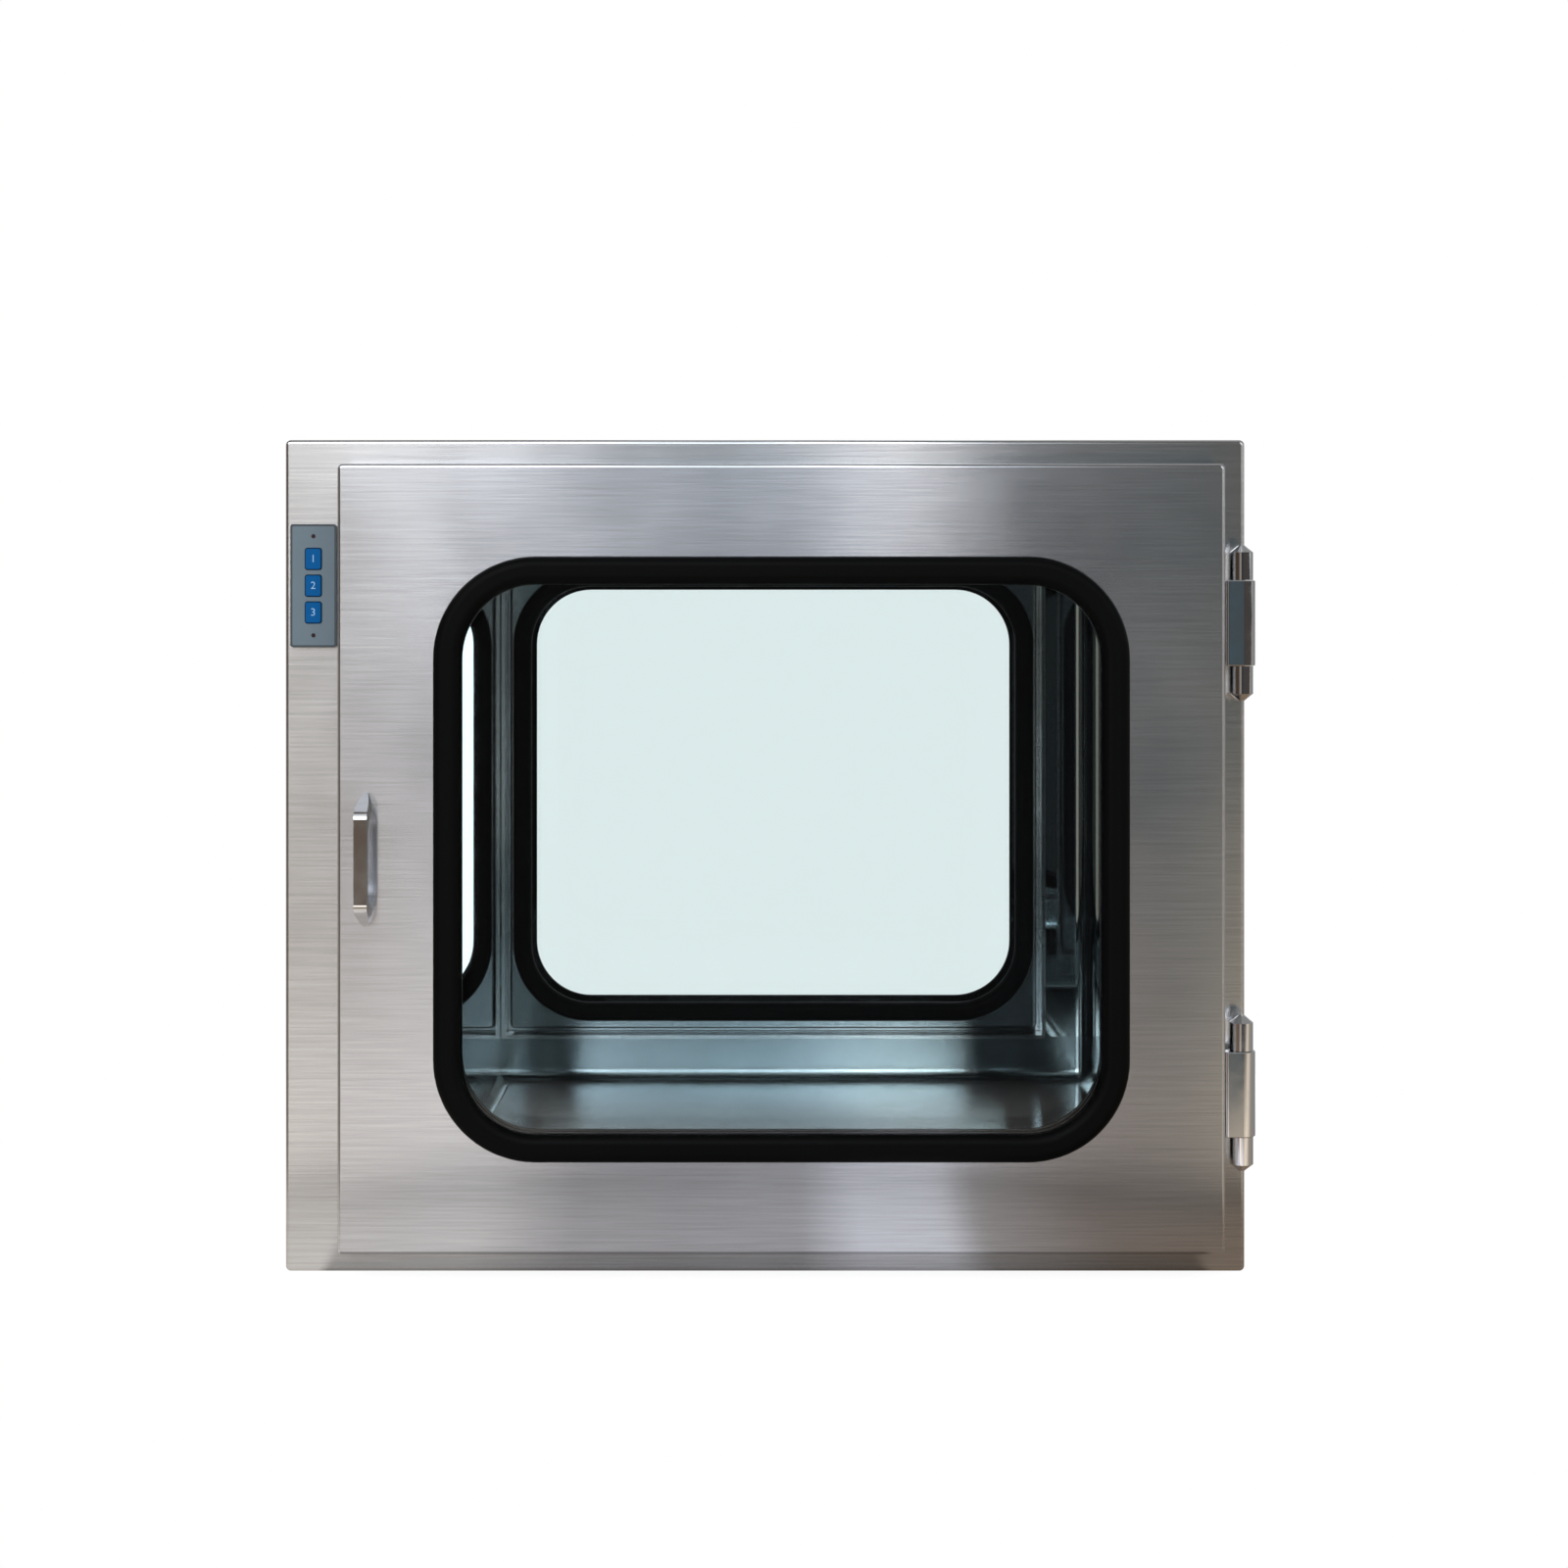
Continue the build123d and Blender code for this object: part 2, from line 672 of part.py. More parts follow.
# The inner pan closes the door's back and plugs the opening.
with BuildPart() as door_inner_pan:
    with BuildSketch(front_plane(plug_face)):
        with Locations((middle_x, middle_z)):
            RectangleRounded(plug_width, plug_height, plug_corner)
    extrude(amount=door_back + sheet - plug_face)
    fillet(edges_at(door_inner_pan, plug_face), bend_radius)
    offset(amount=-sheet, openings=faces().sort_by(Axis.Y)[0])
    with BuildSketch(front_plane(door_back)):
        with Locations((middle_x, middle_z)):
            RectangleRounded(door_width - 2 * sheet, door_height - 2 * sheet, edge_radius - sheet)
            RectangleRounded(
                plug_width - 2 * sheet,
                plug_height - 2 * sheet,
                plug_corner - sheet,
                mode=Mode.SUBTRACT,
            )
    extrude(amount=sheet)
    with BuildSketch(front_plane(door_back)):
        with Locations((magnet_x, middle_z)):
            Rectangle(armature_width + 2 * armature_play, armature_height + 2 * armature_play)
    extrude(amount=sheet, mode=Mode.SUBTRACT)
    with BuildSketch(front_plane(plug_face)):
        with Locations((middle_x, middle_z)):
            RectangleRounded(cutout_width, cutout_height, cutout_corner)
    extrude(amount=sheet, mode=Mode.SUBTRACT)
save_pair(door_inner_pan.part, "door_inner_pan")

with BuildPart() as door_seal:
    with BuildSketch(front_plane(armature_face)):
        with Locations((middle_x, middle_z)):
            Rectangle(
                opening_width + 2 * (seal_inset + seal_width),
                opening_height + 2 * (seal_inset + seal_width),
            )
            Rectangle(
                opening_width + 2 * seal_inset,
                opening_height + 2 * seal_inset,
                mode=Mode.SUBTRACT,
            )
    extrude(amount=door_back - armature_face)
    fillet(edges_at(door_seal, armature_face), (seal_gap - seal_play) / 2)
save_pair(door_seal.part, "door_seal")


def window_gasket(sheet_middle, band, outwards):
    """A rubber section that grips the sheet's cut-out on one side and the pane on the other."""
    hidden = sheet_middle - outwards * gasket_tail
    proud = sheet_middle + outwards * gasket_proud
    with BuildPart() as gasket:
        with BuildSketch(front_plane(hidden)):
            with Locations((middle_x, middle_z)):
                ring(gasket_width, gasket_height, gasket_corner, band)
        extrude(amount=proud - hidden)
        fillet(edges_at(gasket, proud), gasket_round)
        with BuildSketch(front_plane(sheet_middle)):
            with Locations((middle_x, middle_z)):
                ring(
                    gasket_width + 2 * sheet_grip,
                    gasket_height + 2 * sheet_grip,
                    gasket_corner + sheet_grip,
                    2 * sheet_grip,
                )
        extrude(amount=sheet / 2, both=True, mode=Mode.SUBTRACT)
        with BuildSketch(front_plane(sheet_middle)):
            with Locations((middle_x, middle_z)):
                pane_outline(band)
        extrude(amount=glass_thickness / 2, both=True, mode=Mode.SUBTRACT)
    return gasket.part


def pane_outline(band):
    """The pane's outline: the clear window and what the gasket grips."""
    inset = band - glass_grip
    RectangleRounded(gasket_width - 2 * inset, gasket_height - 2 * inset, gasket_corner - inset)


def window_pane(sheet_middle, band):
    """A sheet of toughened glass with rounded corners."""
    with BuildPart() as pane:
        with BuildSketch(front_plane(sheet_middle)):
            with Locations((middle_x, middle_z)):
                pane_outline(band)
        extrude(amount=glass_thickness / 2, both=True)
    return pane.part


skin_middle = door_face - sheet / 2
pan_middle = plug_face + sheet / 2
save_pair(window_gasket(skin_middle, outer_band, 1), "window_outer_gasket")
save_pair(window_gasket(pan_middle, inner_band, -1), "window_inner_gasket")
save_pair(window_pane(skin_middle, outer_band), "window_outer_pane")
save_pair(window_pane(pan_middle, inner_band), "window_inner_pane")

# ---------------------------------------------------------------- handle
handle_end = handle_length / 2
bar_end = bar_length / 2
bar_back = handle_standoff - handle_bar
leg_slope = (handle_end - bar_end) / handle_standoff
inner_foot = handle_end - handle_foot
inner_bar = inner_foot - leg_slope * bar_back
point_start = handle_end - handle_point
bow_plane = Plane(origin=(handle_x, -door_face, middle_z), x_dir=(0, 0, 1), z_dir=(1, 0, 0))

# The bow is one polished bar: a flat front, two legs that slope back to the door, and
# ends that narrow to a tip. Screws from inside the skin hold its feet.
with BuildPart() as handle:
    with BuildSketch(bow_plane):
        with BuildLine():
            Polyline(
                (-inner_foot, 0),
                (-handle_end, 0),
                (-bar_end, handle_standoff),
                (bar_end, handle_standoff),
                (handle_end, 0),
                (inner_foot, 0),
                (inner_bar, bar_back),
                (-inner_bar, bar_back),
                close=True,
            )
        make_face()
        bends = vertices().group_by(Axis.Y)[1] + vertices().group_by(Axis.Y)[2]
        fillet(bends, handle_bend)
    extrude(amount=handle_width / 2, both=True)
    with BuildSketch(front_plane(door_face)):
        with Locations((handle_x, middle_z)):
            Rectangle(handle_width, 2 * point_start)
        with Locations((handle_x, middle_z - point_start), (handle_x, middle_z + point_start)):
            Ellipse(handle_width / 2, handle_point)
    extrude(amount=handle_standoff, mode=Mode.INTERSECT)
    with BuildSketch(front_plane(door_face)):
        with Locations(*[(handle_x, hole_z) for hole_z in handle_holes]):
            Circle(handle_screw_radius)
    extrude(amount=handle_screw_bite, mode=Mode.SUBTRACT)
save_pair(handle.part, "handle")

with BuildPart() as handle_screws:
    with BuildSketch(front_plane(door_face - sheet)):
        with Locations(*[(handle_x, hole_z) for hole_z in handle_holes]):
            Circle(screw_head_radius)
    extrude(amount=-screw_head_height)
    with BuildSketch(front_plane(door_face - sheet)):
        with Locations(*[(handle_x, hole_z) for hole_z in handle_holes]):
            Circle(handle_screw_radius)
    extrude(amount=sheet + handle_screw_bite)
save_pair(handle_screws.part, "handle_screws")

# ---------------------------------------------------------------- hinges
leaf_left = door_right + leaf_setback
end_knuckle = (hinge_length - middle_knuckle) / 2 - knuckle_play
pin_length = hinge_length - 2 * pin_cover
tip_slope = degrees(atan2(end_radius - knuckle_tip, tip_height))

# The door's leaf is a D-shaped barrel whose flat runs back to the door's edge.
with BuildPart() as hinge_door_leaves:
    for hinge_z in hinge_heights:
        with BuildSketch(Plane.XY.offset(hinge_z - middle_knuckle / 2)):
            with Locations((pin_x, -pin_plane)):
                Circle(middle_radius)
            with Locations((door_right, -pin_plane - middle_radius)):
                Rectangle(pin_inset, middle_radius + leaf_thickness, align=(Align.MIN, Align.MIN))
            with Locations((pin_x, -pin_plane)):
                Circle(pin_radius + pin_running, mode=Mode.SUBTRACT)
        extrude(amount=middle_knuckle)
    fillet(edges().filter_by(Axis.Z).group_by(Axis.X)[0].group_by(Axis.Y)[0], leaf_round)
    knuckle_ends = faces().filter_by(Axis.Z)
    chamfer([edge for end in knuckle_ends for edge in end.outer_wire().edges()], leaf_bevel)
save_pair(hinge_door_leaves.part, "hinge_door_leaves")

# The frame's leaf lies on the cabinet's face and carries an outer knuckle at each end.
with BuildPart() as hinge_frame_leaves:
    for hinge_z in hinge_heights:
        with BuildSketch(Plane.XY.offset(hinge_z - hinge_length / 2 + tip_height)):
            with Locations((leaf_left, -half_depth)):
                Rectangle(half_width - bend_radius - leaf_left, leaf_thickness,
                          align=(Align.MIN, Align.MAX))
        extrude(amount=hinge_length - 2 * tip_height)
        for way in (-1, 1):
            inner_end = hinge_z + way * (hinge_length / 2 - end_knuckle)
            with BuildSketch(Plane.XY.offset(inner_end)):
                with Locations((pin_x, -pin_plane)):
                    Circle(end_radius)
                with Locations((leaf_left, -half_depth)):
                    Rectangle(pin_x - leaf_left, pin_height, align=(Align.MIN, Align.MAX))
            extrude(amount=way * (end_knuckle - tip_height))
            with BuildSketch(Plane.XY.offset(inner_end + way * (end_knuckle - tip_height))):
                with Locations((pin_x, -pin_plane)):
                    Circle(end_radius)
            extrude(amount=way * tip_height, taper=tip_slope)
        with BuildSketch(Plane.XY.offset(hinge_z - pin_length / 2)):
            with Locations((pin_x, -pin_plane)):
                Circle(pin_radius)
        extrude(amount=pin_length, mode=Mode.SUBTRACT)
save_pair(hinge_frame_leaves.part, "hinge_frame_leaves")

with BuildPart() as front_hinge_pins:
    for hinge_z in hinge_heights:
        with BuildSketch(Plane.XY.offset(hinge_z - pin_length / 2)):
            with Locations((pin_x, -pin_plane)):
                Circle(pin_radius)
        extrude(amount=pin_length)
save(both_faces(front_hinge_pins.part), "hinge_pins")

# ---------------------------------------------------------------- control panels
window_width = key_width + 2 * key_play
window_height = key_height + 2 * key_play
well_width = key_width + 2 * key_rim + 2 * key_play
well_height = key_height + 2 * key_rim + 2 * key_play
key_places = [(panel_x, key_z) for key_z in key_heights]
led_places = [(panel_x, panel_z - led_offset), (panel_x, panel_z + led_offset)]

# The housing passes through the frame and its rim stands proud of the face.
with BuildPart() as panel_housing:
    with BuildSketch(front_plane(half_depth)):
        with Locations((panel_x, panel_z)):
            RectangleRounded(panel_width, panel_height, panel_corner)
    extrude(amount=panel_proud)
    with BuildSketch(front_plane(half_depth)):
        with Locations((panel_x, panel_z)):
            Rectangle(tail_width, tail_height)
    extrude(amount=-panel_tail)
    with BuildSketch(front_plane(overlay_back)):
        with Locations((panel_x, panel_z)):
            RectangleRounded(
                panel_width - 2 * panel_border,
                panel_height - 2 * panel_border,
                panel_corner - panel_border / 2,
            )
    extrude(amount=overlay_thickness, mode=Mode.SUBTRACT)
    with BuildSketch(front_plane(board_face)):
        with Locations(*key_places):
            Rectangle(well_width, well_height)
        with Locations(*led_places):
            Circle(led_radius)
    extrude(amount=overlay_back - board_face, mode=Mode.SUBTRACT)
save_pair(panel_housing.part, "panel_housing")

with BuildPart() as panel_overlay:
    with BuildSketch(front_plane(overlay_back)):
        with Locations((panel_x, panel_z)):
            RectangleRounded(
                panel_width - 2 * panel_border,
                panel_height - 2 * panel_border,
                panel_corner - panel_border / 2,
            )
        with Locations(*key_places):
            RectangleRounded(window_width, window_height, key_corner + key_play, mode=Mode.SUBTRACT)
        with Locations(*led_places):
            Circle(led_radius, mode=Mode.SUBTRACT)
    extrude(amount=overlay_thickness)
save_pair(panel_overlay.part, "panel_overlay")

# Each key is a cap with a rim that the overlay holds in.
for index, key_z in enumerate(key_heights, start=1):
    with BuildPart() as key_cap:
        with BuildSketch(front_plane(key_back)):
            with Locations((panel_x, key_z)):
                Rectangle(key_width + 2 * key_rim, key_height + 2 * key_rim)
        extrude(amount=key_rim)
        with BuildSketch(front_plane(key_back + key_rim)):
            with Locations((panel_x, key_z)):
                RectangleRounded(key_width, key_height, key_corner)
        extrude(amount=panel_face + key_proud - key_back - key_rim)
        chamfer(edges_at(key_cap, panel_face + key_proud), key_proud / 3)
    save_pair(key_cap.part, f"key_{index}")

with BuildPart() as front_leds:
    with BuildSketch(front_plane(board_face)):
        with Locations(*led_places):
            Circle(led_radius)
    extrude(amount=panel_face + led_rise - board_face)
    chamfer(edges_at(front_leds, panel_face + led_rise), led_rise / 2)
save(both_faces(front_leds.part), "indicator_lamps")

# The switch board closes the housing's back. A tact switch stands behind each key.
with BuildPart() as front_switch_board:
    with BuildSketch(front_plane(board_face)):
        with Locations((panel_x, panel_z)):
            Rectangle(tail_width, tail_height)
    extrude(amount=-board_thickness)
    with BuildSketch(front_plane(board_face)):
        with Locations(*key_places):
            Rectangle(switch_size, switch_size)
    extrude(amount=(switch_top - board_face) / 2)
    with BuildSketch(front_plane(board_face)):
        with Locations(*key_places):
            Circle(switch_cap_radius)
    extrude(amount=switch_top - board_face)
save(both_faces(front_switch_board.part), "switch_boards")
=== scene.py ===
import math

import bmesh
import bpy
from mathutils import Matrix, Vector


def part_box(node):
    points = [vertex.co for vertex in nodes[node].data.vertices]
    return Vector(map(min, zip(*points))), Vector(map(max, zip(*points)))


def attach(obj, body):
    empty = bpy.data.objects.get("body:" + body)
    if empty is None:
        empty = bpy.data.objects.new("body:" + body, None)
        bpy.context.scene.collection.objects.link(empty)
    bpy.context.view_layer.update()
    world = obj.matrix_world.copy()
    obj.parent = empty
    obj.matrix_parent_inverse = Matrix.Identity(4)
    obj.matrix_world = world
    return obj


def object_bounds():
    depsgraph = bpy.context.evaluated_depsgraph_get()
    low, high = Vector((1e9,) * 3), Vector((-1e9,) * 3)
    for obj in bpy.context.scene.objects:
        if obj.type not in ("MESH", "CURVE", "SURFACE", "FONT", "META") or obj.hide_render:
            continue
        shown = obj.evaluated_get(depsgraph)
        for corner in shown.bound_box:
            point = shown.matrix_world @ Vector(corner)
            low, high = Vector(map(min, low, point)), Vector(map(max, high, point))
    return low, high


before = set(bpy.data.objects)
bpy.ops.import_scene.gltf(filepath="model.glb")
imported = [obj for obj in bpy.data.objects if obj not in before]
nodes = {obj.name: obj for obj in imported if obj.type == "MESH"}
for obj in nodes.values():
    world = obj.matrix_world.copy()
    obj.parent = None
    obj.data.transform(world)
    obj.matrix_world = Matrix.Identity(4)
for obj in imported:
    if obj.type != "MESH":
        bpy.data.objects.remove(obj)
cad_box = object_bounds()

# ================================================================ cabinet shell
# The outer box: folded sheets of stainless steel 1.5 mm thick, spot welded along their
# flanges, with a face frame at each end. The sheet is supplied brushed along its length
# under a peel-off film, so the upright faces carry a fine level grain.


def linear(code):
    """A hex colour as the eye sees it, turned to the linear values that a shader takes."""
    channels = [int(code[place:place + 2], 16) / 255 for place in (1, 3, 5)]
    return [c / 12.92 if c <= 0.04045 else ((c + 0.055) / 1.055) ** 2.4 for c in channels] + [1.0]


def add(tree, kind, sockets, **settings):
    """Adds a shader node. A socket, named or numbered, takes a value or another node's output."""
    made = tree.nodes.new("ShaderNode" + kind)
    for name, value in settings.items():
        setattr(made, name, value)
    for socket, value in sockets.items():
        if isinstance(value, bpy.types.NodeSocket):
            tree.links.new(value, made.inputs[socket])
        else:
            made.inputs[socket].default_value = value
    return made


def new_material(name):
    """An empty node material and its output."""
    material = bpy.data.materials.new(name)
    material.use_nodes = True
    material.node_tree.nodes.clear()
    return material, material.node_tree, material.node_tree.nodes.new("ShaderNodeOutputMaterial")


def finish_with(material, *names):
    """Gives these CAD pieces the material in every slot."""
    for name in names:
        for place in range(len(nodes[name].material_slots)):
            nodes[name].material_slots[place].material = material


grain_length = 0.090            # a brush line is about this long
grain_width = 0.0014            # real lines are 0.1 mm wide, too fine to show here
grain_depth = 0.00002
steel_patch = 0.11              # size of the faint patches that handling leaves
steel_gloss = (0.145, 0.175)    # roughness, from clean to handled
noise_span = (0.3, 0.7)         # most of a noise pattern lies between these
end_smear = (0, 0, 0.01)        # gives the faces that look along X a way to smear


def brushed_stainless(name, dark, light, across):
    """Metal brushed one way, whose mirror image smears across the grain.

    across has a 1 for the axis that crosses the grain.
    """
    material, tree, output = new_material(name)
    place = add(tree, "TexCoord", {})
    spacing = [1 / grain_width if axis else 1 / grain_length for axis in across]
    lines = add(tree, "Mapping", {"Vector": place.outputs["Object"], "Scale": spacing})
    grain = add(tree, "TexNoise", {"Vector": lines.outputs[0], "Scale": 1.0, "Detail": 4.0,
                                   "Roughness": 0.62})
    patches = add(tree, "TexNoise", {"Vector": place.outputs["Object"], "Scale": 1 / steel_patch,
                                     "Detail": 2.0})
    tone = add(tree, "MapRange", {"Value": grain.outputs[0], "From Min": noise_span[0],
                                  "From Max": noise_span[1]})
    colour = add(tree, "Mix", {"Factor": tone.outputs[0], "A": linear(dark), "B": linear(light)},
                 data_type="RGBA")
    gloss = add(tree, "MapRange", {"Value": patches.outputs[0], "From Min": noise_span[0],
                                   "From Max": noise_span[1], "To Min": steel_gloss[0],
                                   "To Max": steel_gloss[1]})
    relief = add(tree, "Bump", {"Height": grain.outputs[0], "Distance": grain_depth,
                                "Strength": 1.0})
    facing = add(tree, "NewGeometry", {})
    turned = add(tree, "VectorMath", {0: facing.outputs["Normal"], 1: (1, 0, 0)},
                 operation="CROSS_PRODUCT")
    smear = add(tree, "VectorMath", {0: turned.outputs[0], 1: end_smear}, operation="ADD")
    metal = add(tree, "BsdfPrincipled", {"Metallic": 1.0, "Anisotropic": 1.0,
                                         "Base Color": colour.outputs["Result"],
                                         "Roughness": gloss.outputs[0], "Normal": relief.outputs[0],
                                         "Tangent": smear.outputs[0]})
    tree.links.new(metal.outputs[0], output.inputs[0])
    return material


# Stainless steel brushed level: satin, with reflections drawn out up and down
upright_steel = brushed_stainless("brushed_stainless_upright", "#C6C7C8", "#D9DADB",
                                  across=(0, 0, 1))
# The same steel on the sheets that lie flat, brushed from side to side
level_steel = brushed_stainless("brushed_stainless_level", "#C7C7C6", "#DADAD8",
                                across=(0, 1, 0))
finish_with(upright_steel, "left_side_panel", "right_side_panel", "front_frame", "rear_frame")
finish_with(level_steel, "top_panel", "bottom_panel", "service_cover", "floor_stiffeners")

# ================================================================ chamber
# The washable inside: sheet with a bright annealed finish, close to a mirror and a little
# cool, with coved corners that are ground and polished after they are welded.

chamber_colour = "#D2D9DB"
chamber_gloss = (0.01, 0.03)
haze_per_metre = 30.0           # clouds that wiping leaves, one in about 33 mm
chamber_wave = 0.09             # spacing of the slow waves that pressing leaves in thin sheet
wave_height = 0.00001

# Bright annealed steel: a cool mirror, hardly hazed, that bends straight lines a little
chamber_steel, tree, output = new_material("bright_annealed_stainless")
place = add(tree, "TexCoord", {})
waves = add(tree, "TexNoise", {"Vector": place.outputs["Object"], "Scale": 1 / chamber_wave,
                               "Detail": 1.0})
haze = add(tree, "TexNoise", {"Vector": place.outputs["Object"], "Scale": haze_per_metre,
                              "Detail": 5.0})
gloss = add(tree, "MapRange", {"Value": haze.outputs[0], "From Min": noise_span[0],
                               "From Max": noise_span[1], "To Min": chamber_gloss[0],
                               "To Max": chamber_gloss[1]})
relief = add(tree, "Bump", {"Height": waves.outputs[0], "Distance": wave_height, "Strength": 1.0})
metal = add(tree, "BsdfPrincipled", {"Metallic": 1.0, "Base Color": linear(chamber_colour),
                                     "Roughness": gloss.outputs[0], "Normal": relief.outputs[0]})
tree.links.new(metal.outputs[0], output.inputs[0])
finish_with(chamber_steel, "chamber_left_wall", "chamber_right_wall", "chamber_ceiling")
# Dull rolled steel: greyer than the walls, and it mirrors them softly
pan_steel = brushed_stainless("dull_rolled_stainless", "#A6B0B4", "#B1BABE",
                              across=(0, 1, 0))
finish_with(pan_steel, "chamber_floor_pan")

# ================================================================ doors
# Each door is a brushed outer skin over a pressed inner pan, screwed together round the
# window, with a soft seal at its back and a nickel-plated plate that the magnet holds.

# The skins' steel: satin and a little cooler than the cabinet's, brushed level
door_steel = brushed_stainless("brushed_stainless_door", "#C5C7CA", "#D7D9DD",
                               across=(0, 0, 1))
finish_with(door_steel, "front_door_skin", "rear_door_skin")
# The inner pans' steel: painted shade, a darker and cooler copy of the door steel, because they see
# little light
shaded_lining_steel = brushed_stainless("brushed_stainless_lining_painted_shade", "#AEB6BA", "#B9C1C5",
                                 across=(0, 0, 1))
finish_with(shaded_lining_steel, "front_door_inner_pan", "rear_door_inner_pan")


clouds_per_metre = 45.0         # faint clouds in a moulded colour, one in about 22 mm


def moulded(name, colour, dark, rough, pit, depth, shine=0.5):
    """A moulded or painted surface: one colour that clouds a little, with a fine pitted skin.

    pit is the spacing of the pits and depth is how deep they are.
    """
    material, tree, output = new_material(name)
    place = add(tree, "TexCoord", {})
    clouds = add(tree, "TexNoise", {"Vector": place.outputs["Object"], "Scale": clouds_per_metre,
                                    "Detail": 3.0})
    pits = add(tree, "TexNoise", {"Vector": place.outputs["Object"], "Scale": 1 / pit,
                                  "Detail": 2.0})
    shade = add(tree, "Mix", {"Factor": clouds.outputs[0], "A": linear(dark), "B": linear(colour)},
                data_type="RGBA")
    relief = add(tree, "Bump", {"Height": pits.outputs[0], "Distance": depth, "Strength": 1.0})
    body = add(tree, "BsdfPrincipled", {"Base Color": shade.outputs["Result"], "Roughness": rough,
                                        "Specular IOR Level": shine, "Normal": relief.outputs[0]})
    tree.links.new(body.outputs[0], output.inputs[0])
    return material


# Foamed rubber: charcoal, quite matt
seal_rubber = moulded("epdm_door_seal", "#2A2B2C", "#1E1F20",
                      rough=0.6, pit=0.0012, depth=0.00002)
finish_with(seal_rubber, "front_door_seal", "rear_door_seal")

# ================================================================ windows
# Two panes of toughened float glass in each door, each held by an extruded black rubber
# gasket that laps the sheet on one side and the glass on the other.

# Extruded rubber: deep black, with a low soft shine along its round back
gasket_rubber = moulded("extruded_epdm", "#060708", "#040505",
                        rough=0.45, pit=0.0015, depth=0.000015, shine=0.06)
finish_with(gasket_rubber, "front_window_outer_gasket", "front_window_inner_gasket",
            "rear_window_outer_gasket", "rear_window_inner_gasket")

glass_tint = "#FBFFFF"
smears_per_metre = 9.0          # smears that a cloth leaves, one in about 110 mm
smear_span = (0.45, 0.8)        # only the stronger part of the pattern shows
smear_gloss = 0.008

# Float glass: clear, a breath cool, with smears too faint to see but in a low light
window_glass, tree, output = new_material("toughened_float_glass")
place = add(tree, "TexCoord", {})
smears = add(tree, "TexNoise", {"Vector": place.outputs["Object"], "Scale": smears_per_metre,
                                "Detail": 4.0})
gloss = add(tree, "MapRange", {"Value": smears.outputs[0], "From Min": smear_span[0],
                               "From Max": smear_span[1], "To Min": 0.0, "To Max": smear_gloss})
glass = add(tree, "BsdfPrincipled", {"Base Color": linear(glass_tint),
                                     "Roughness": gloss.outputs[0], "IOR": 1.38,
                                     "Transmission Weight": 1.0})
tree.links.new(glass.outputs[0], output.inputs[0])
finish_with(window_glass, "front_window_outer_pane", "front_window_inner_pane",
            "rear_window_outer_pane", "rear_window_inner_pane")

# ================================================================ handles and hinges
# Zinc castings, polished and chromium plated: bright mirrors with soft edges, whose plating
# dulls a little where hands and cloths pass.

wear_span = (0.35, 0.7)         # the part of the wear pattern that dulls the plating


def plated(name, colour, low, high, cloud):
    """Plated metal whose gloss clouds between two values, in clouds of one size."""
    material, tree, output = new_material(name)
    place = add(tree, "TexCoord", {})
    wear = add(tree, "TexNoise", {"Vector": place.outputs["Object"], "Scale": 1 / cloud,
                                  "Detail": 4.0})
    gloss = add(tree, "MapRange", {"Value": wear.outputs[0], "From Min": wear_span[0],
                                   "From Max": wear_span[1], "To Min": low, "To Max": high})
    metal = add(tree, "BsdfPrincipled", {"Metallic": 1.0, "Base Color": linear(colour),
                                         "Roughness": gloss.outputs[0]})
    tree.links.new(metal.outputs[0], output.inputs[0])
    return material


# Chromium plate: a bright neutral mirror, dulled in thumb-sized clouds
chrome = plated("polished_chromium_plate", "#DCDDDF", low=0.04, high=0.12, cloud=0.02)
# Zinc plate: pale grey and satin, mottled every few millimetres
zinc = plated("zinc_plated_steel", "#B9BCC0", low=0.28, high=0.42, cloud=0.006)
# Nickel plate: a warmer grey, blurred
nickel = plated("nickel_plated_iron", "#A9A59C", low=0.3, high=0.45, cloud=0.01)
finish_with(chrome, "front_handle", "rear_handle", "front_hinge_door_leaves",
            "rear_hinge_door_leaves", "front_hinge_frame_leaves", "rear_hinge_frame_leaves",
            "hinge_pins")
finish_with(zinc, "front_handle_screws", "rear_handle_screws", "service_cover_screws")
finish_with(nickel, "front_door_armature", "rear_door_armature")

# ================================================================ control panels
# A moulded dark housing let into the face frame, a grey printed film over it, three blue push keys
# in its windows and two small lamps. Each key has a pale number printed on its cap, and round it a
# dark ring on the film that is painted shade, standing for the shadow in the gap at the key's
# sides.

# Moulded ABS: slate, with a soft shine
panel_dark = moulded("moulded_abs_dark", "#414C52", "#384247",
                     rough=0.42, pit=0.0008, depth=0.00001)
# Printed polyester film: blue-grey, satin and smooth
panel_grey = moulded("printed_polyester_film", "#71818B", "#687883",
                     rough=0.4, pit=0.0009, depth=0.000006, shine=0.3)
# Moulded ABS coloured through: strong blue, satin
key_blue = moulded("moulded_abs_blue", "#005D9E", "#005592",
                   rough=0.4, pit=0.0008, depth=0.000006, shine=0.1)
# Smoked acrylic: dark brown-red and glossy while the lamp is off
lens = moulded("smoked_acrylic_lens", "#3B2A2A", "#2E2222",
               rough=0.12, pit=0.0008, depth=0.000002)
finish_with(panel_dark, "front_panel_housing", "rear_panel_housing")
finish_with(panel_grey, "front_panel_overlay", "rear_panel_overlay")
finish_with(lens, "indicator_lamps")

key_numbers = (1, 2, 3)
key_lip = 0.0008                # what each key has behind the film, all round
rim_clear = 0.00015             # from the key's side to its ring of painted shade
rim_width = 0.0006
rim_height = 0.00015            # how far the ring of painted shade stands off the film
corner_round = 0.0022
numeral_height = 0.0058
figure_share = 0.7              # a figure's height over the size of its font
numeral_depth = 0.00012
weld_gap = 0.00001              # points nearer than this are one
# Screen ink, a thin satin coat on the plastic: pale on the keys
numeral_ink = moulded("white_screen_ink", "#9CC4E6", "#8DB7DD",
                      rough=0.5, pit=0.0008, depth=0.000002, shine=0.3)
